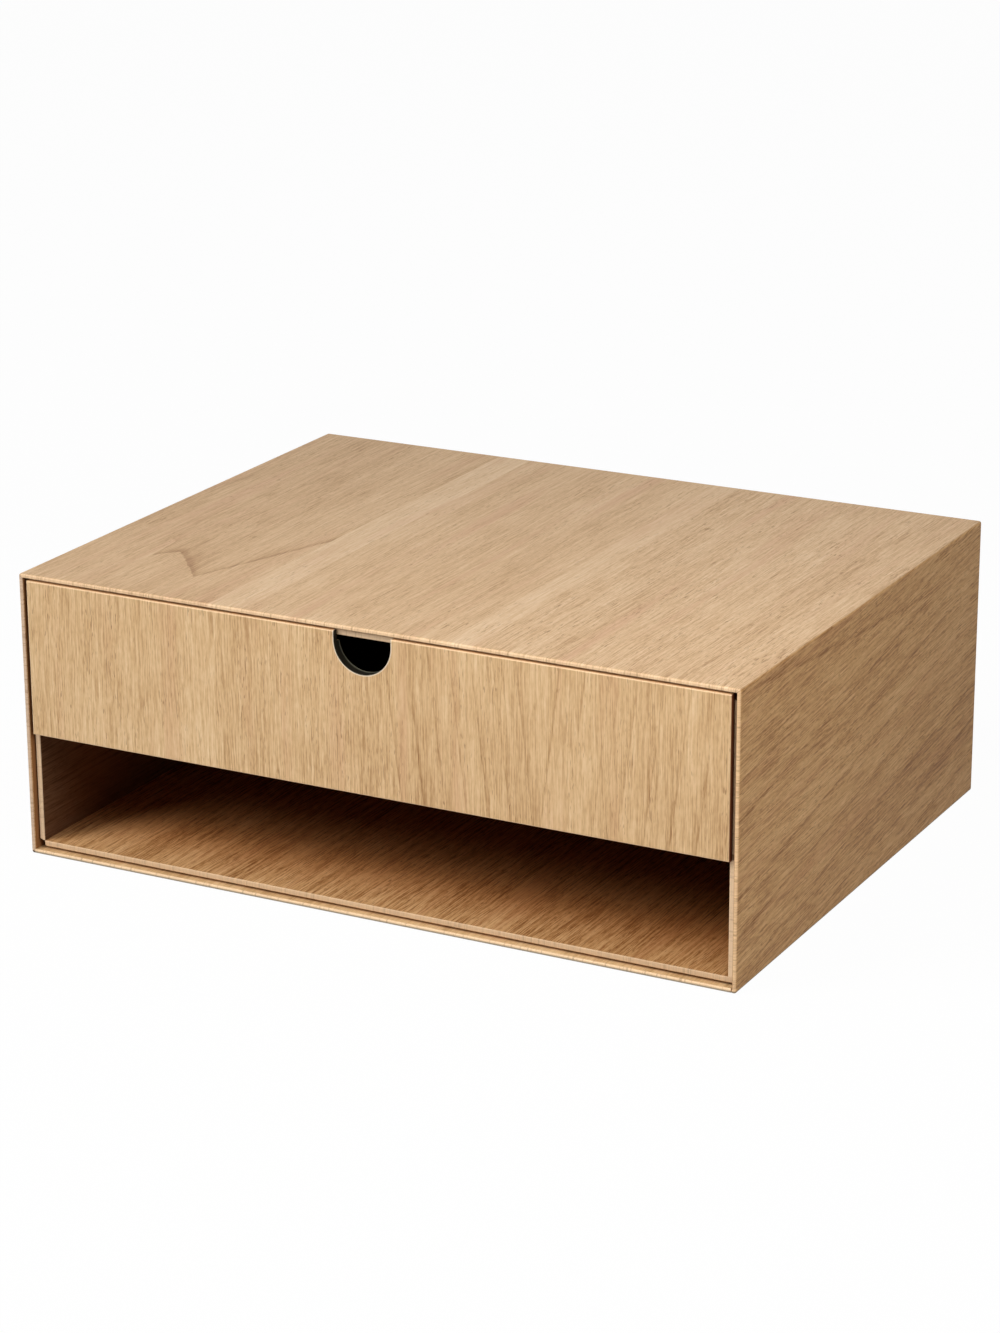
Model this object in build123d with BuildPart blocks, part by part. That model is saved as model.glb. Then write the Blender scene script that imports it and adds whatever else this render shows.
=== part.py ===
"""Mini chest of drawers for a desk: a shallow drawer over an open paper compartment.

Everything is stiff grey board covered in oak-look foil. A case of folded boards holds an inner
shell of thinner boards, which is kept off it by spacer cards, so a dark line runs round the front.
The drawer's front lies over the shell's front edges, flush with the case, and is pulled by a
round finger notch. X runs to the right, Y to the back and Z up, and the origin is the middle of
the footprint on the desk.
"""

import os

from build123d import *

# Overall size of the case
width = 330.0
depth = 255.0
height = 125.0

# Case boards, foil included
case_board = 1.8
fold_radius = 1.1
rim_outer_radius = 0.8
rim_inner_radius = 0.45
wrap_seam = 0.5
back_inset = 1.0
back_side_fit = 0.05

# Spacer cards between the case and the inner shell
side_card = 0.7
flat_card = 1.1
spacer_setback = 9.0

# Inner shell and shelf
shell_board = 2.4
shell_edge_radius = 0.45
corner_bevel = 0.8
compartment_height = 48.9

# Drawer front
face_board = 2.5
face_to_shell = 0.5
face_side_gap = 1.8
face_top_gap = 1.0
face_edge_radius = 0.55
notch_radius = 13.0
notch_depth = 16.7
notch_edge_radius = 0.3

# Drawer tray behind its front
tray_board = 2.0
tray_bottom_board = 1.8
tray_top_clearance = 2.4
tray_edge_radius = 0.5
tray_side_clearance = 0.8
tray_run_clearance = 0.2
tray_back_clearance = 3.0

# Places worked out from the sizes above
half_width = width / 2
front_y = -depth / 2
case_inside_x = half_width - case_board
case_inside_top = height - case_board
shell_setback = face_board + face_to_shell
shell_outside_x = case_inside_x - side_card
shell_inside_x = shell_outside_x - shell_board
floor_bottom = case_board + flat_card
floor_top = floor_bottom + shell_board
shelf_bottom = floor_top + compartment_height
shelf_top = shelf_bottom + shell_board
roof_top = case_inside_top - flat_card
roof_bottom = roof_top - shell_board
case_depth = depth - back_inset - case_board

os.makedirs("parts", exist_ok=True)


def upright(setback):
    """A plane that faces the viewer, this far behind the case's front edges."""
    return Plane.XZ.offset(-front_y - setback)


def save(builder, name):
    """Labels a finished piece and writes it as the node of that name."""
    builder.part.label = name
    export_step(builder.part, f"parts/{name}.step")


def front_face(builder):
    return builder.faces().sort_by(Axis.Y)[0]


# The case, folded from one covered board: three mitred folds, and a butt seam at lower right
with BuildPart() as sleeve:
    with BuildSketch(upright(0)):
        with Locations((0, height / 2)):
            RectangleRounded(width, height, fold_radius)
            Rectangle(2 * case_inside_x, height - 2 * case_board, mode=Mode.SUBTRACT)
    extrude(amount=-depth)
    for rim in (sleeve.faces().sort_by(Axis.Y)[0], sleeve.faces().sort_by(Axis.Y)[-1]):
        fillet(rim.outer_wire().edges(), rim_outer_radius)
    for rim in (sleeve.faces().sort_by(Axis.Y)[0], sleeve.faces().sort_by(Axis.Y)[-1]):
        fillet(rim.inner_wires()[0].edges(), rim_inner_radius)

seam_x = case_inside_x - wrap_seam
case_outlines = {
    "case_top": [
        (-half_width, height),
        (half_width, height),
        (case_inside_x, case_inside_top),
        (-case_inside_x, case_inside_top),
    ],
    "case_left": [
        (-half_width, height),
        (-case_inside_x, case_inside_top),
        (-case_inside_x, case_board),
        (-half_width, 0),
    ],
    "case_right": [
        (half_width, height),
        (case_inside_x, case_inside_top),
        (case_inside_x, 0),
        (half_width, 0),
    ],
    "case_bottom": [
        (-half_width, 0),
        (-case_inside_x, case_board),
        (seam_x, case_board),
        (seam_x, 0),
    ],
}
for name, points in case_outlines.items():
    with BuildPart() as case_panel:
        add(sleeve.part)
        with BuildSketch(upright(0)):
            Polygon(*points, align=None)
        extrude(amount=-depth, mode=Mode.INTERSECT)
    save(case_panel, name)

# Back board, set a little into the case's rear edges
with BuildPart() as case_back:
    with BuildSketch(upright(case_depth)):
        with Locations((0, height / 2)):
            Rectangle(2 * (case_inside_x - back_side_fit), case_inside_top - case_board - 2 * back_side_fit)
    extrude(amount=-case_board)
save(case_back, "case_back")

# Spacer cards, each as wide as the flat inside of the shell board that it carries
spacer_outlines = {
    "spacer_top": (-shell_inside_x, shell_inside_x, roof_top, case_inside_top),
    "spacer_bottom": (-shell_inside_x, shell_inside_x, case_board, floor_bottom),
    "spacer_left": (-case_inside_x, -shell_outside_x, floor_top, roof_bottom),
    "spacer_right": (shell_outside_x, case_inside_x, floor_top, roof_bottom),
}
for name, (left, right, low, high) in spacer_outlines.items():
    with BuildPart() as spacer:
        with BuildSketch(upright(spacer_setback)):
            Polygon((left, low), (right, low), (right, high), (left, high), align=None)
        extrude(amount=spacer_setback - case_depth)
    save(spacer, name)

# Inner shell: foil hinges the boards at their inside edges, so the outside corners stand open,
# but for the lower right one, where the right board stands on the end of the floor
shell_outlines = {
    "shell_floor": [
        (-shell_inside_x, floor_top),
        (shell_outside_x, floor_top),
        (shell_outside_x, floor_bottom),
        (-shell_inside_x + corner_bevel / 2, floor_bottom),
    ],
    "shell_left_lower": [
        (-shell_inside_x, floor_top),
        (-shell_inside_x, shelf_bottom),
        (-shell_outside_x, shelf_bottom),
        (-shell_outside_x, floor_top + corner_bevel),
    ],
    "shell_right_lower": [
        (shell_inside_x, floor_top),
        (shell_inside_x, shelf_bottom),
        (shell_outside_x, shelf_bottom),
        (shell_outside_x, floor_top),
    ],
    "shelf": [
        (-shell_outside_x, shelf_bottom),
        (shell_outside_x, shelf_bottom),
        (shell_outside_x, shelf_top),
        (-shell_outside_x, shelf_top),
    ],
    "shell_left_upper": [
        (-shell_inside_x, shelf_top),
        (-shell_inside_x, roof_bottom),
        (-shell_outside_x, roof_bottom - corner_bevel),
        (-shell_outside_x, shelf_top),
    ],
    "shell_right_upper": [
        (shell_inside_x, shelf_top),
        (shell_inside_x, roof_bottom),
        (shell_outside_x, roof_bottom - corner_bevel),
        (shell_outside_x, shelf_top),
    ],
    "shell_top": [
        (-shell_inside_x, roof_bottom),
        (shell_inside_x, roof_bottom),
        (shell_inside_x - corner_bevel / 2, roof_top),
        (-shell_inside_x + corner_bevel / 2, roof_top),
    ],
}
for name, points in shell_outlines.items():
    with BuildPart() as shell_panel:
        with BuildSketch(upright(shell_setback)):
            Polygon(*points, align=None)
        extrude(amount=shell_setback - case_depth)
        along = Axis.Z if "left" in name or "right" in name else Axis.X
        fillet(front_face(shell_panel).edges().filter_by(along), shell_edge_radius)
    save(shell_panel, name)

# Drawer front, flush with the case's front edges
face_half = case_inside_x - face_side_gap
face_low = shelf_bottom
face_high = case_inside_top - face_top_gap
notch_low = face_high - notch_depth
notch_centre = notch_low + notch_radius


# Finger notch, cut through the front and the tray wall behind it: a half circle with straight sides
with BuildSketch() as notch:
    with BuildLine():
        left_side = Line((-notch_radius, face_high), (-notch_radius, notch_centre))
        lower_arc = RadiusArc(left_side @ 1, (notch_radius, notch_centre), -notch_radius)
        right_side = Line(lower_arc @ 1, (notch_radius, face_high))
        Line(right_side @ 1, left_side @ 0)
    make_face()


def in_notch(edge):
    """Tells the edges round the finger notch from the other edges of a board it is cut in."""
    middle = edge.center()
    return abs(middle.X) < notch_radius + notch_edge_radius and middle.Z > notch_low - notch_edge_radius


with BuildPart() as drawer_face:
    with BuildSketch(upright(0)):
        with Locations((0, (face_low + face_high) / 2)):
            Rectangle(2 * face_half, face_high - face_low)
        add(notch.sketch, mode=Mode.SUBTRACT)
    extrude(amount=-face_board)
    fillet(front_face(drawer_face).edges().filter_by(in_notch, reverse=True), face_edge_radius)
    fillet(front_face(drawer_face).edges().filter_by(in_notch), notch_edge_radius)
save(drawer_face, "drawer_face")

# Tray: long sides run past its front and back walls, and the bottom lies between all four
tray_half = shell_inside_x - tray_side_clearance
tray_inside_x = tray_half - tray_board
tray_low = shelf_top + tray_run_clearance
tray_high = roof_bottom - tray_top_clearance
tray_height = tray_high - tray_low
tray_start = face_board
tray_end = case_depth - tray_back_clearance
tray_length = tray_end - tray_start
tray_middle = (tray_low + tray_high) / 2


def round_top(builder):
    """Rounds the long top edges of a tray wall."""
    top = builder.faces().group_by(Axis.Z)[-1]
    size = builder.part.bounding_box().size
    fillet(top.edges().filter_by(Axis.X if size.X > size.Y else Axis.Y), tray_edge_radius)


for name, low_x, high_x in (
    ("drawer_left_wall", -tray_half, -tray_inside_x),
    ("drawer_right_wall", tray_inside_x, tray_half),
):
    with BuildPart() as side_wall:
        with BuildSketch(upright(tray_start)):
            with Locations(((low_x + high_x) / 2, tray_middle)):
                Rectangle(tray_board, tray_height)
        extrude(amount=-tray_length)
        round_top(side_wall)
    save(side_wall, name)

with BuildPart() as drawer_front_wall:
    with BuildSketch(upright(tray_start)):
        with Locations((0, tray_middle)):
            Rectangle(2 * tray_inside_x, tray_height)
        add(notch.sketch, mode=Mode.SUBTRACT)
    extrude(amount=-tray_board)
    round_top(drawer_front_wall)
save(drawer_front_wall, "drawer_front_wall")

with BuildPart() as drawer_back_wall:
    with BuildSketch(upright(tray_end - tray_board)):
        with Locations((0, tray_middle)):
            Rectangle(2 * tray_inside_x, tray_height)
    extrude(amount=-tray_board)
    round_top(drawer_back_wall)
save(drawer_back_wall, "drawer_back_wall")

with BuildPart() as drawer_bottom:
    with BuildSketch(Plane.XY.offset(tray_low)):
        middle_y = front_y + (tray_start + tray_end) / 2
        with Locations((0, middle_y)):
            Rectangle(2 * tray_inside_x, tray_length - 2 * tray_board)
    extrude(amount=tray_bottom_board)
save(drawer_bottom, "drawer_bottom")
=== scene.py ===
"""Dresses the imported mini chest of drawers: oak-look foil on every board, studio light, camera."""

import math
from typing import NamedTuple

import bpy
from mathutils import Euler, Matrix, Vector


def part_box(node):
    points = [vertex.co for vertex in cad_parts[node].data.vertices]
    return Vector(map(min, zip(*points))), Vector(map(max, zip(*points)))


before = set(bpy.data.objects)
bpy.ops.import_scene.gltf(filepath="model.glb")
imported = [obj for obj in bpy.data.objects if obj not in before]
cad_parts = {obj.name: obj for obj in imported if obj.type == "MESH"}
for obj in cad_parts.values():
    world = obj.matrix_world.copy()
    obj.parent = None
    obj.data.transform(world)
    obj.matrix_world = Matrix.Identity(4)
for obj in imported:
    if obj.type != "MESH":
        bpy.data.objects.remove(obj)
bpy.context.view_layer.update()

MM = 0.001


def corners(node):
    """The lowest and highest corner of a node at rest, in millimetres."""
    return [[part / MM for part in corner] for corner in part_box(node)]


# Places on the object, in millimetres
FRONT_Y = corners("case_top")[0][1]
TOP_Z = corners("case_top")[1][2]
HALF_WIDTH = corners("case_right")[1][0]
SHELL_FRONT_Y = corners("shelf")[0][1]
SHELL_HALF = corners("shelf")[1][0]
SHELL_LOW = corners("shell_floor")[0][2]
SHELL_HIGH = corners("shell_top")[1][2]
FACE_LOW = corners("drawer_face")[0][2]
FACE_HIGH = corners("drawer_face")[1][2]
FACE_HALF = corners("drawer_face")[1][0]
BACK_INSIDE_Y = corners("case_back")[0][1]
CASE_BOARD = 1.8
NOTCH_RADIUS = 13.0
NOTCH_STRAIGHT_SIDES = 3.7
NOTCH_CENTRE_Z = FACE_HIGH - NOTCH_STRAIGHT_SIDES


class Value:
    """A shader socket that carries a number, so that shader maths reads as plain Python."""

    def __init__(self, shader, socket):
        self.shader = shader
        self.socket = socket

    def maths(self, operation, *others):
        return self.shader.maths(operation, self, *others)

    def __add__(self, other):
        return self.maths("ADD", other)

    def __radd__(self, other):
        return self.maths("ADD", other)

    def __sub__(self, other):
        return self.maths("SUBTRACT", other)

    def __rsub__(self, other):
        return self.shader.maths("SUBTRACT", other, self)

    def __mul__(self, other):
        return self.maths("MULTIPLY", other)

    def __rmul__(self, other):
        return self.maths("MULTIPLY", other)

    def __truediv__(self, other):
        return self.maths("DIVIDE", other)

    def __abs__(self):
        return self.maths("ABSOLUTE")

    def __gt__(self, other):
        return self.maths("GREATER_THAN", other)

    def __lt__(self, other):
        return self.maths("LESS_THAN", other)


class Nodes:
    """A node tree under construction."""

    def __init__(self, tree):
        self.tree = tree
        self.tree.nodes.clear()

    def node(self, kind, settings=None, inputs=None):
        """Adds a node: settings are set first, then the values or links of its sockets."""
        made = self.tree.nodes.new(kind)
        for key, value in (settings or {}).items():
            if key == "stops":
                self.set_stops(made.color_ramp, value)
            else:
                setattr(made, key, value)
        for key, value in (inputs or {}).items():
            self.feed(made.inputs[key], value)
        return made

    def feed(self, socket, value):
        if isinstance(value, Value):
            value = value.socket
        if isinstance(value, bpy.types.NodeSocket):
            self.tree.links.new(value, socket)
        else:
            socket.default_value = value

    def set_stops(self, ramp, stops):
        while len(ramp.elements) < len(stops):
            ramp.elements.new(0.5)
        for element, (place, colour) in zip(ramp.elements, stops):
            element.position = place
            element.color = colour

    def maths(self, operation, *values):
        made = self.node("ShaderNodeMath", {"operation": operation}, dict(enumerate(values)))
        return Value(self, made.outputs[0])

    def smooth(self, value, low, high):
        """A soft step from 0 at low to 1 at high, where low may also be the greater of the two."""
        made = self.node(
            "ShaderNodeMapRange",
            {"interpolation_type": "SMOOTHSTEP"},
            {"Value": value, "From Min": low, "From Max": high},
        )
        return Value(self, made.outputs["Result"])

    def place(self):
        """The surface point in the part's own frame, in millimetres."""
        coordinates = self.node("ShaderNodeTexCoord")
        split = self.node("ShaderNodeSeparateXYZ", inputs={0: coordinates.outputs["Object"]})
        return [Value(self, socket) / MM for socket in split.outputs]

    def noise(self, across, along, width, length, seed, detail=2.0, roughness=0.5):
        """Noise from about -0.5 to 0.5 whose blots are width by length millimetres."""
        point = self.node(
            "ShaderNodeCombineXYZ",
            inputs={0: across / width, 1: along / length, 2: seed},
        )
        made = self.node(
            "ShaderNodeTexNoise",
            {"noise_dimensions": "3D"},
            {"Vector": point.outputs[0], "Scale": 1.0, "Detail": detail, "Roughness": roughness},
        )
        return Value(self, made.outputs[0]) - 0.5

    def mix(self, factor, first, second, blend="MIX"):
        """Colours first and second, blended by factor."""
        made = self.node(
            "ShaderNodeMix",
            {"data_type": "RGBA", "blend_type": blend},
            {"Factor": factor, 6: first, 7: second},
        )
        return made.outputs[2]


class Shader(Nodes):
    """A material under construction, with one Principled surface."""

    def __init__(self, name):
        self.material = bpy.data.materials.new(name)
        self.material.use_nodes = True
        super().__init__(self.material.node_tree)
        self.surface = self.node("ShaderNodeBsdfPrincipled")
        self.output = self.node("ShaderNodeOutputMaterial")
        self.feed(self.output.inputs["Surface"], self.surface.outputs[0])


def linear(red, green, blue):
    """A colour written as it looks on a screen, 0 to 255, in the shader's own units."""
    return [((part / 255 + 0.055) / 1.055) ** 2.4 for part in (red, green, blue)] + [1.0]


OAK_TONES = [
    (0.0, linear(150, 110, 70)),
    (0.25, linear(183, 146, 101)),
    (0.5, linear(209, 174, 127)),
    (1.0, linear(234, 206, 163)),
]
OAK_PINK = linear(204, 160, 120)
OAK_PORE = linear(122, 82, 47)
# Pale rims: partly the foil's own paler fold, partly a painted highlight
RIM_HIGHLIGHT_CREAM = linear(248, 215, 176)
# A shaded copy of the rim colour: painted shade for the left panel's rim
RIM_HIGHLIGHT_SHADED = linear(204, 179, 156)
# Dark brown: painted shade on the drawer front's side edges in the gaps, and the dark line of the
# case's mitres
GAP_SHADE_AND_JOINT_BROWN = linear(92, 47, 20)
# Painted light on the drawer front's top edge, which lies in the case top's shadow
UPPER_EDGE_PAINTED_LIGHT = linear(232, 190, 140)
# Painted contact shade along the case's foot
FOOT_CONTACT_SHADE = linear(146, 134, 116)
# Painted shade at the lower left corner of the foot
FOOT_CORNER_SHADE = linear(70, 56, 46)
# A painted highlight round the rim of the finger notch
NOTCH_RIM_HIGHLIGHT = linear(226, 214, 192)
NOTCH_BLACK = linear(31, 28, 22)
RAW_CUT = linear(92, 91, 76), linear(140, 137, 116)
RAW_CARD = linear(96, 90, 78), linear(132, 124, 108)
# Brown on the hidden inner faces: partly a lining, partly painted shade in the gaps between boards
LINING_AND_GAP_SHADE = linear(146, 102, 64)
# Painted shade: the back board's inside face, which closes the compartment, is nearly black
BACK_WALL_SHADE = linear(48, 31, 20)
# Painted shade: the shell's boards turn darker and redder deeper inside
DEPTH_SHADE = (1.02, 0.77, 0.59, 1.0)
# Painted shade towards the shell's right end
RIGHT_END_SHADE = (0.89, 0.84, 0.78, 1.0)

# The foil's satin finish
FOIL_IOR = 1.46
PRINT_RELIEF = 0.00012
RELIEF_STRENGTH = 0.25

# Edges of the foil, and how far the shell's painted shade reaches, in millimetres
RIM_FADE = 0.6
LINING_FADE = 0.5
SHADE_DEPTH = 45
RIGHT_SHADE_FROM, RIGHT_SHADE_FULL = 10, 140


class Leaf(NamedTuple):
    """One leaf of veneer in the printed oak.

    start is where it begins across the grain, and tone how much paler it is than the oak's middle
    tone. rings and coarse say how strong its rings and its fibres show.
    """

    start: float
    tone: float = 0.0
    rings: float = 0.0
    coarse: float = 1.0


class Arch(NamedTuple):
    """One pointed arch of the growth rings.

    across and along place the tip of one ring, and left and right say how far its two arms run
    along the grain for each millimetre across it.
    """

    across: float
    along: float
    left: float
    right: float


class Sheet(NamedTuple):
    """How one sheet of foil is printed.

    period is the step from ring to ring along the grain, and closing makes inner rings narrower.
    lean turns the grain a little. bands, fibres and pores say how strong each shows, reach how long
    they run, and rows how far the pores gather in the rings.
    """

    seed: float
    leaves: list = [Leaf(-200)]
    arches: list = [Arch(0, 0, 9, 9)]
    period: float = 60.0
    closing: float = 0.0
    lean: float = 0.0
    tint: tuple = (1.0, 1.0, 1.0)
    bands: float = 1.0
    fibres: float = 1.0
    pores: float = 1.0
    reach: float = 1.0
    rows: float = 0.5
    gloss: float = 0.3


def in_leaves(across, leaves, field):
    """The value that a field has in the leaf under the point."""
    value = getattr(leaves[0], field)
    for before, leaf in zip(leaves, leaves[1:]):
        step = getattr(leaf, field) - getattr(before, field)
        if step:
            value = (across > leaf.start) * step + value
    return value


def ring_start(arches, u):
    """How far along the grain the outermost ring lies, where u is the place across it."""
    start = None
    for arch in arches:
        right = (u - arch.across).maths("MAXIMUM", 0.0)
        left = (arch.across - u).maths("MAXIMUM", 0.0)
        arm = right * arch.right + left * arch.left + arch.along
        start = start.maths("SMOOTH_MIN", arm, 5.0) if start else arm
    return start


def oak(shader, across, along, through, sheet):
    """Printed oak: leaves of veneer side by side, with arched rings, fibres and open pores.

    It gives the colour, the roughness and the height of the print's relief.
    """
    seed = through * 0.02 + sheet.seed
    across = across - along * sheet.lean

    def noise(u, width, length, shift, detail=2.0, roughness=0.5):
        """Noise in blots of width by length millimetres, set apart from others by its shift."""
        return shader.noise(u, along, width, length, seed + shift, detail, roughness)

    # Grain that drifts and ripples instead of running dead straight
    reach = sheet.reach
    drift = noise(across, 45, 190, 0.0, detail=0.0)
    ripple = noise(across, 5, 17 * reach, 3.1)
    u = across + 7 * drift + 0.8 * ripple

    # Growth rings: each is a sharp line with a shade that fades after it
    outer = ring_start(sheet.arches, across + 4 * drift + 0.5 * ripple)
    spacing = sheet.period + sheet.closing * (outer - sheet.arches[0].along)
    age = (along + 5 * ripple - outer) / spacing
    growth = age.maths("FRACT")
    ring_line = shader.smooth(growth, 0.14, 0.02) * shader.smooth(growth, 0.0, 0.015)
    ring_shade = shader.smooth(growth, 0.6, 0.0)
    broken = shader.smooth(noise(u, 24, 70, 12.9), -0.25, 0.0)
    inner_fade = sheet.closing * 0.85 * shader.smooth(age, 0.5, 1.1)
    ring_force = in_leaves(across, sheet.leaves, "rings") * broken * (1 - inner_fade)
    lines = ring_force * (0.17 * ring_line + 0.1 * ring_shade)

    # Bands of light and dark wood, and the fibres in them
    broad = noise(u, 13, 240, 5.3, detail=1.0)
    blot = noise(across, 22, 45, 9.4)
    streak = noise(u, 1.6, 50 * reach, 2.3)
    hair = shader.smooth(noise(u, 0.42, 22 * reach, 11.5, detail=1.0), -0.12, 0.12) - 0.5
    fibre = noise(u, 0.7, 9 * reach, 6.1, roughness=0.6)
    fleck = noise(across, 0.8, 3.2, 4.4, detail=1.0)
    bands = sheet.bands * (0.5 * broad + 0.3 * blot + 0.6 * streak)
    coarse = in_leaves(across, sheet.leaves, "coarse")
    fibres = sheet.fibres * coarse * (0.15 * hair + 0.26 * fibre + 0.2 * fleck)
    light = in_leaves(across, sheet.leaves, "tone") + 0.5 + bands + fibres - lines
    ramp = shader.node("ShaderNodeValToRGB", {"stops": OAK_TONES}, {0: light})
    pinkish = shader.smooth(noise(u, 9, 150, 8.9), 0.02, 0.3) * 0.55
    colour = shader.mix(pinkish, ramp.outputs[0], OAK_PINK)

    # Open pores, which gather in streaks and in the rings
    porous = shader.smooth(noise(u, 6, 60, 1.7), -0.1, 0.12) + ring_line * sheet.rows
    short_pore = shader.smooth(noise(u, 0.45, 5 * reach, 7.7, detail=1.0), 0.12, 0.24)
    long_pore = shader.smooth(noise(u, 0.6, 13 * reach, 10.2, detail=1.0), 0.15, 0.26)
    pore = (short_pore * 0.6 + long_pore * 0.5) * (0.2 + 0.8 * porous) * sheet.pores * coarse
    pore = pore.maths("MINIMUM", 1.0)
    colour = shader.mix(pore * 0.6, colour, OAK_PORE)
    colour = shader.mix(1.0, colour, [*sheet.tint, 1.0], "MULTIPLY")

    height = 0.3 * hair + 0.3 * fibre - 0.7 * pore
    roughness = 0.48 + 0.1 * fibre + 0.12 * pore
    return colour, roughness, height


class Foil(Shader):
    """Oak-look foil on a board. Its grain carries on round the board's edges."""

    def __init__(self, name, sheet, across, along, through):
        super().__init__(name)
        self.x, self.y, self.z = self.place()
        axes = {"X": self.x, "Y": self.y, "Z": self.z}
        run = axes[along[0]]
        for axis, sign in along[1]:
            run = run + axes[axis] * sign
        self.across = axes[across]
        self.behind_front = self.y - FRONT_Y
        self.colour, self.roughness, self.height = oak(self, self.across, run, axes[through], sheet)
        self.surface.inputs["Specular IOR Level"].default_value = sheet.gloss

    def paint(self, mask, colour):
        """Covers the print with a plain colour where mask is 1."""
        self.colour = self.mix(mask, self.colour, colour)

    def highlight_rim(self, rim, highlight, ticks=0.4, fold=RIM_HIGHLIGHT_CREAM):
        """Pales a folded rim, partly as the foil's paler fold and partly as a painted highlight,
        across which the grain shows as short ticks.
        """
        self.paint(rim * highlight, fold)
        tick = self.noise(self.across, self.x + self.y + self.z, 0.9, 25, 14.6)
        self.paint(self.smooth(tick, 0.06, 0.2) * rim * ticks, OAK_PORE)

    def finish(self):
        """Feeds the satin foil's shader and gives the material."""
        bump = self.node(
            "ShaderNodeBump",
            inputs={
                "Height": self.height,
                "Strength": RELIEF_STRENGTH,
                "Distance": PRINT_RELIEF,
            },
        )
        self.feed(self.surface.inputs["Base Color"], self.colour)
        self.feed(self.surface.inputs["Roughness"], self.roughness)
        self.feed(self.surface.inputs["Normal"], bump.outputs[0])
        self.surface.inputs["IOR"].default_value = FOIL_IOR
        return self.material


# How a board's foil runs: the axis across its grain, the one along it with those that carry the
# print round the edges, and the one through the board
LYING = ("X", ("Y", [("Z", -1)]), "Z")
STANDING = ("Z", ("Y", [("X", 1)]), "X")
FACING = ("X", ("Z", [("Y", 1)]), "Y")


def case_foil(name, sheet, across, along, through, highlight, rim_depth, turn_in, fold=RIM_HIGHLIGHT_CREAM):
    """Foil on a case panel: its front rim paled, partly as a painted highlight, turned in, with a
    lining behind that is partly painted gap shade, and painted contact shade at its foot.
    """
    foil = Foil(name, sheet, across, along, through)
    in_from_side = HALF_WIDTH - abs(foil.x)
    in_from_level = (TOP_Z - foil.z).maths("MINIMUM", foil.z)
    depth = in_from_side.maths("MINIMUM", in_from_level)
    rim = foil.smooth(foil.behind_front, rim_depth, rim_depth - RIM_FADE)
    # The front rim is paled, partly as a painted highlight
    foil.highlight_rim(rim, highlight, fold=fold)

    # Painted contact shade: its foot is greyed where it meets the desk, and darkest at the lower
    # left corner
    front = foil.smooth(foil.behind_front, 1.0, 0.6)
    around = foil.smooth(in_from_side, 1.0, 0.6).maths("MAXIMUM", front)
    foil.paint(foil.smooth(foil.z, 1.25, 0.75) * around * 0.8, FOOT_CONTACT_SHADE)
    left_foot = foil.smooth(foil.x, 2.0 - HALF_WIDTH, 1.6 - HALF_WIDTH) * front
    foil.paint(foil.smooth(foil.z, 1.3, 1.0) * left_foot, FOOT_CORNER_SHADE)

    # Behind the turn-in, the inner faces are painted brown: partly a lining, partly painted shade in
    # the gap
    inside = foil.smooth(depth, CASE_BOARD - 0.35, CASE_BOARD - 0.1)
    lined = foil.smooth(foil.behind_front, turn_in, turn_in + LINING_FADE)
    foil.paint(inside * lined, LINING_AND_GAP_SHADE)
    mitre = foil.smooth(abs(in_from_side - in_from_level), 0.22, 0.08)
    folded = (foil.x < 0).maths("MAXIMUM", foil.z > TOP_Z / 2)
    foil.paint(mitre * folded * rim * 0.45, GAP_SHADE_AND_JOINT_BROWN)
    return foil.finish()


def shell_foil(name, sheet, across, along, through, highlight, turn_in):
    """Foil on a board of the inner shell: painted shade darkens it towards the back and the right,
    and a lining behind it is partly painted gap shade.
    """
    foil = Foil(name, sheet, across, along, through)
    behind_edge = foil.y - SHELL_FRONT_Y
    # Painted shade, darker and redder deeper inside
    deeper = foil.smooth(behind_edge, 0, SHADE_DEPTH)
    foil.colour = foil.mix(deeper, foil.colour, DEPTH_SHADE, "MULTIPLY")
    # Painted shade, darker towards the right end
    to_right = foil.smooth(foil.x, RIGHT_SHADE_FROM, RIGHT_SHADE_FULL)
    foil.colour = foil.mix(to_right, foil.colour, RIGHT_END_SHADE, "MULTIPLY")
    # The front rim is paled, partly as a painted highlight, strongest on the shell's top, where it
    # lifts the shade under the case's overhang
    foil.highlight_rim(foil.smooth(behind_edge, 0.55, 0.2), highlight, ticks=0.22)
    # Hidden faces are painted brown: partly a lining, partly painted shade in the gaps between shell
    # and case
    out_side = foil.smooth(abs(foil.x), SHELL_HALF - 0.3, SHELL_HALF - 0.05)
    out_low = foil.smooth(foil.z, SHELL_LOW + 0.3, SHELL_LOW + 0.05)
    out_high = foil.smooth(foil.z, SHELL_HIGH - 0.3, SHELL_HIGH - 0.05)
    hidden = out_side.maths("MAXIMUM", out_low).maths("MAXIMUM", out_high)
    lined = foil.smooth(behind_edge, turn_in - 0.35, turn_in)
    foil.paint(hidden * lined, LINING_AND_GAP_SHADE)
    return foil.finish()


def from_notch(foil):
    """How far a point lies from the finger notch's middle line."""
    below = (foil.z - NOTCH_CENTRE_Z).maths("MINIMUM", 0.0)
    return (foil.x * foil.x + below * below).maths("SQRT")


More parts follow.
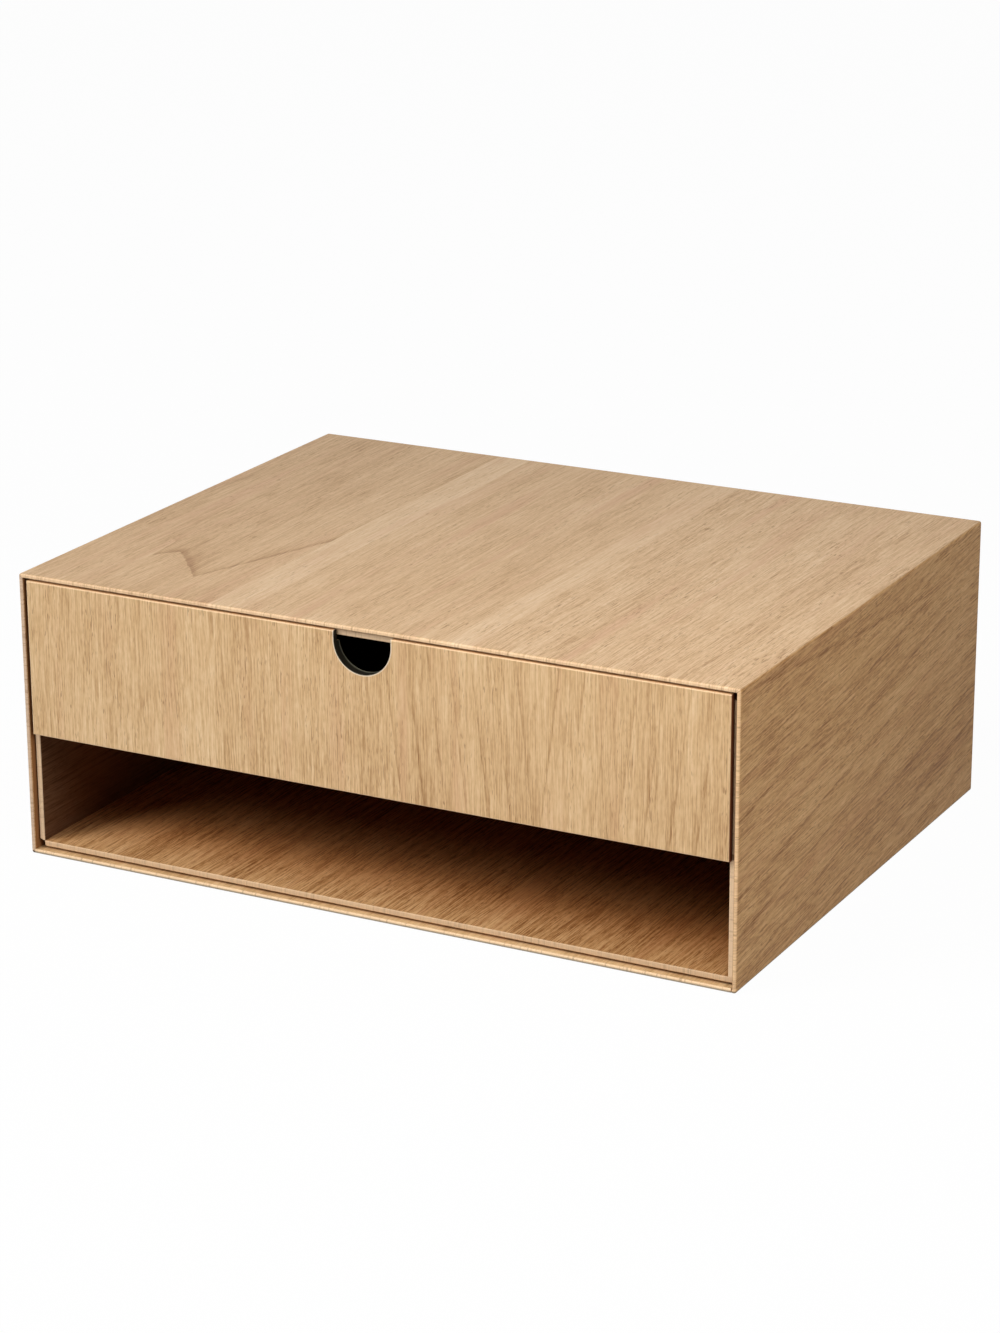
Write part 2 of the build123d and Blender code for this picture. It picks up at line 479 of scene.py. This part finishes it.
def face_foil(name, sheet):
    """Foil on the drawer's front: pale rims partly painted as highlight, painted light on its top
    edge, side edges painted dark brown as shade in the gaps, a painted highlight round the notch and
    a black cut round it.
    """
    foil = Foil(name, sheet, *FACING)
    in_from_side = FACE_HALF - abs(foil.x)
    in_from_top = FACE_HIGH - foil.z
    in_from_level = in_from_top.maths("MINIMUM", foil.z - FACE_LOW)
    depth = in_from_side.maths("MINIMUM", in_from_level)
    rim = foil.smooth(depth, 0.7, 0.25) * foil.smooth(foil.behind_front, 0.5, 0.3)
    # The front rims are paled, partly as a painted highlight
    foil.paint(rim * 0.45, RIM_HIGHLIGHT_CREAM)
    behind_rim = foil.smooth(foil.behind_front, 0.3, 0.6)
    # Painted light on the top edge, lifting the shade in the gap under the case top
    foil.paint(foil.smooth(in_from_top, 0.15, 0.02) * behind_rim, UPPER_EDGE_PAINTED_LIGHT)
    # Painted shade: the side edges, which lie in the narrow gaps, are painted dark brown, the right
    # one over a wider band
    foil.paint(foil.smooth(in_from_side, 0.15, 0.02) * behind_rim, GAP_SHADE_AND_JOINT_BROWN)
    foil.paint(foil.smooth(foil.x, FACE_HALF - 0.55, FACE_HALF - 0.15), GAP_SHADE_AND_JOINT_BROWN)
    into_board = from_notch(foil) - NOTCH_RADIUS
    # Painted highlight round the notch's rim
    foil.paint(foil.smooth(into_board, 0.75, 0.3) * 0.75, NOTCH_RIM_HIGHLIGHT)
    foil.paint(foil.smooth(into_board, 0.2, 0.08), NOTCH_BLACK)
    return foil.finish()


def front_wall_foil(name, sheet):
    """Foil on the tray's front wall, whose cut round the notch is black, and raw at its rear."""
    foil = Foil(name, sheet, *FACING)
    cut = foil.smooth(from_notch(foil) - NOTCH_RADIUS, 0.15, 0.05)
    blot = foil.noise(foil.x + foil.y, foil.z, 0.6, 0.6, 4.0)
    raw = foil.mix(blot + 0.5, *RAW_CUT)
    rear_edge = foil.smooth(foil.behind_front, 3.5, 4.0)
    foil.paint(cut, foil.mix(rear_edge, NOTCH_BLACK, raw))
    return foil.finish()


def back_foil(name, sheet):
    """Foil on the back board's outside, and painted shade, nearly black, on its inside face that
    closes the compartment.
    """
    foil = Foil(name, sheet, *FACING)
    # Painted shade on the inside face
    foil.paint(foil.smooth(foil.y, BACK_INSIDE_Y + 0.3, BACK_INSIDE_Y + 0.1), BACK_WALL_SHADE)
    return foil.finish()


def grey_board(name):
    """Raw grey board, as the spacer cards show it."""
    shader = Shader(name)
    x, y, z = shader.place()
    blot = shader.noise(x + z, y, 2.5, 2.5, 3.0, detail=4.0) + 0.5
    colour = shader.mix(blot, *RAW_CARD)
    shader.feed(shader.surface.inputs["Base Color"], colour)
    shader.feed(shader.surface.inputs["Roughness"], 0.85 + 0.1 * blot)
    return shader.material


TOP_LEAVES = [
    Leaf(-200, -0.03),
    Leaf(-136, -0.03, 1.0),
    Leaf(-72, 0.17),
    Leaf(-56, 0.0),
    Leaf(38, 0.14),
    Leaf(50, 0.0, coarse=1.35),
]
TOP_ARCHES = [Arch(-97.5, -224, 1.16, 2.66), Arch(-130, -205, 10, 1.33)]
RINGED = [Leaf(-200, 0.0, 0.9)]
SIDE_ARCHES = [Arch(88, 235, -10, -6.5)]
FACE_LEAVES = [Leaf(-200, coarse=1.2), Leaf(10, 0.0, 0.8)]
FACE_ARCHES = [Arch(78, -90, 9, 8)]

# A shaded copy of the oak for the side panels: warmer and darker as painted shade
SIDE_SHADE_TINT = (0.96, 0.85, 0.72)
# Painted warm shade on the shell's floor
FLOOR_SHADE_TINT = (1.0, 0.81, 0.66)
# Painted shade: the shell's upright boards, shelf and top are tinted down to a fifth to a third of
# the oak's brightness
INNER_SHADE_TINT = (0.29, 0.21, 0.2)
SIDE = {
    "leaves": RINGED, "arches": SIDE_ARCHES, "period": 162, "lean": 0.08,
    "tint": SIDE_SHADE_TINT, "reach": 0.85, "rows": 1.6, "gloss": 0.1,
}
# The shell's inner boards, darkened by the painted shade tint
INNER_SHADED = {"tint": INNER_SHADE_TINT, "bands": 1.4, "fibres": 2.2, "gloss": 0.1}
# The top is tinted paler and bluer as a painted sheen
top = Sheet(
    1, TOP_LEAVES, TOP_ARCHES, 40, 0.9,
    tint=(1.03, 1.04, 1.17), bands=0.6, fibres=1.3, pores=1.3, reach=1.1, gloss=0.15,
)
bottom = Sheet(11)
left = Sheet(21, **SIDE, bands=0.9, fibres=2.5, pores=2.2)
right = Sheet(31, **SIDE, bands=0.9, fibres=2.6, pores=3.0)
back = Sheet(41, gloss=0.12)
# The drawer's front has its own slight tint, a lit copy of the same foil
face = Sheet(
    81, FACE_LEAVES, FACE_ARCHES, 90,
    tint=(0.98, 0.98, 1.02), bands=0.7, fibres=1.5, pores=1.6, reach=0.85, gloss=0.2,
)
shell_floor = Sheet(51, tint=FLOOR_SHADE_TINT, bands=1.2, fibres=3.4, pores=2.6, gloss=0.12)
shell_level = Sheet(61, **INNER_SHADED)
shell_upright = Sheet(101, **INNER_SHADED, pores=1.5, reach=1.4)
tray = Sheet(111, tint=(0.98, 0.94, 0.9), fibres=1.5)

looks = {
    "case_top": case_foil("case_top_foil", top, *LYING, highlight=0.35, rim_depth=0.7, turn_in=3.2),
    "case_bottom": case_foil(
        "case_bottom_foil", bottom, *LYING, highlight=0.75, rim_depth=1.1, turn_in=7.0,
    ),
    # The left panel's rim takes the shaded copy of the rim colour, as painted shade
    "case_left": case_foil(
        "case_left_foil", left, *STANDING, highlight=0.8, rim_depth=0.7, turn_in=0.6, fold=RIM_HIGHLIGHT_SHADED,
    ),
    "case_right": case_foil(
        "case_right_foil", right, *STANDING, highlight=0.45, rim_depth=0.7, turn_in=-0.4,
    ),
    "case_back": back_foil("case_back_foil", back),
    "shell_floor": shell_foil("shell_floor_foil", shell_floor, *LYING, highlight=0.75, turn_in=7.0),
    "shell_top": shell_foil("shell_top_foil", shell_level, *LYING, highlight=0.95, turn_in=0.55),
    "shelf": shell_foil("shelf_foil", shell_level, *LYING, highlight=0.3, turn_in=0.55),
    "drawer_face": face_foil("drawer_face_foil", face),
    "drawer_front_wall": front_wall_foil("tray_front_foil", tray),
}
shell_side = shell_foil("shell_side_foil", shell_upright, *STANDING, highlight=0.85, turn_in=0.55)
tray_side = Foil("tray_side_foil", tray, *STANDING).finish()
tray_end = Foil("tray_end_foil", tray, *FACING).finish()
tray_bottom = Foil("tray_bottom_foil", tray, *LYING).finish()
looks["drawer_left_wall"] = looks["drawer_right_wall"] = tray_side
looks["drawer_back_wall"] = tray_end
looks["drawer_bottom"] = tray_bottom
card = grey_board("raw_grey_board")
for name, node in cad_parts.items():
    material = looks.get(name, card if name.startswith("spacer") else shell_side)
    node.data.materials.clear()
    node.data.materials.append(material)
    node.data.shade_smooth()

# Studio: a white floor and backdrop, and soft lamps on all sides with the key at the front left
FLOOR_WHITENING = 0.975
WORLD_FILL = 0.06
WHITE = (1, 1, 1, 1)
FLOOR_WHITES = (0.93, 0.93, 0.93, 1), (0.96, 0.96, 0.96, 1)
BOUNCE_GREY = (0.4, 0.4, 0.4, 1)


def seen_directly(nodes):
    """1 for what the camera sees, straight or in gloss and glass, and 0 for light that bounces."""
    path = nodes.node("ShaderNodeLightPath")
    seen = nodes.maths("MAXIMUM", path.outputs["Is Camera Ray"], path.outputs["Is Glossy Ray"])
    return seen.maths("MAXIMUM", path.outputs["Is Transmission Ray"])


paint = Shader("studio_floor_paint")
x, y, z = paint.place()
speck = paint.noise(x, y, 40, 40, 0.0) + 0.5
seen = seen_directly(paint)
colour = paint.mix(seen, BOUNCE_GREY, paint.mix(speck, *FLOOR_WHITES))
paint.feed(paint.surface.inputs["Base Color"], colour)
paint.surface.inputs["Roughness"].default_value = 0.95
paint.surface.inputs["Specular IOR Level"].default_value = 0.0
glow = paint.node("ShaderNodeEmission", inputs={"Color": WHITE})
whitened = paint.node(
    "ShaderNodeMixShader",
    inputs={0: seen * FLOOR_WHITENING, 1: paint.surface.outputs[0], 2: glow.outputs[0]},
)
paint.feed(paint.output.inputs["Surface"], whitened.outputs[0])
bpy.ops.mesh.primitive_plane_add(size=30, location=(0, 0, -0.0002))
floor = bpy.context.object
floor.name = "studio_floor"
floor.data.materials.append(paint.material)

world = bpy.data.worlds.new("studio_backdrop")
world.use_nodes = True
bpy.context.scene.world = world
backdrop = Nodes(world.node_tree)
brightness = seen_directly(backdrop) * (1 - WORLD_FILL) + WORLD_FILL
light = backdrop.node("ShaderNodeBackground", inputs={"Color": WHITE, "Strength": brightness})
backdrop.node("ShaderNodeOutputWorld", inputs={"Surface": light.outputs[0]})


def area_lamp(name, place, aim, size, power, colour=(1, 1, 1), only=()):
    """A soft rectangular lamp, pointed at aim. It lights everything, or only the nodes named."""
    data = bpy.data.lights.new(name, "AREA")
    data.shape = "RECTANGLE"
    data.size, data.size_y = size
    data.energy = power
    data.color = colour
    lamp = bpy.data.objects.new(name, data)
    lamp.location = place
    lamp.rotation_euler = (lamp.location - Vector(aim)).to_track_quat("Z", "Y").to_euler()
    bpy.context.scene.collection.objects.link(lamp)
    if only:
        lit = bpy.data.collections.new(name + "_lights")
        for node_name in only:
            lit.objects.link(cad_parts[node_name])
        lamp.light_linking.receiver_collection = lit


OUTSIDE = ["case_top", "case_left", "case_right", "case_bottom", "case_back", "drawer_face"]
FRONT_LIT = OUTSIDE + ["shell_left_lower", "shell_right_lower", "shell_top"]
WARM = (1.0, 0.88, 0.76)
area_lamp("key_softbox", (-1.1, -1.35, 1.4), (0, -0.05, 0.06), (1.1, 1.1), 31)
area_lamp("overhead_softbox", (0.28, -0.36, 0.62), (0.1, -0.1, 0.1), (0.5, 0.5), 2.2)
area_lamp("front_fill", (-0.3, -2.2, 0.4), (0, 0, 0.06), (0.9, 0.7), 9.5, only=FRONT_LIT)
area_lamp("right_fill", (1.45, -0.7, 0.65), (0.16, 0, 0.06), (0.7, 0.7), 8, WARM, OUTSIDE)
area_lamp("back_fill", (0.2, 2.0, 0.6), (0, 0, 0.06), (0.9, 0.5), 12, only=["case_back"])

# Camera, fitted to the corners of the case in the photograph
camera_data = bpy.data.cameras.new("camera")
camera_data.sensor_fit = "VERTICAL"
camera_data.sensor_height = 36
camera_data.lens = 98.47
camera_data.clip_start = 0.05
camera_data.clip_end = 50
camera = bpy.data.objects.new("camera", camera_data)
camera.location = (0.69324, -1.31948, 0.57034)
camera.rotation_euler = Euler([math.radians(turn) for turn in (71.4793, 0.265, 27.8095)])
bpy.context.scene.collection.objects.link(camera)
bpy.context.scene.camera = camera

bpy.context.scene.view_settings.view_transform = "Standard"
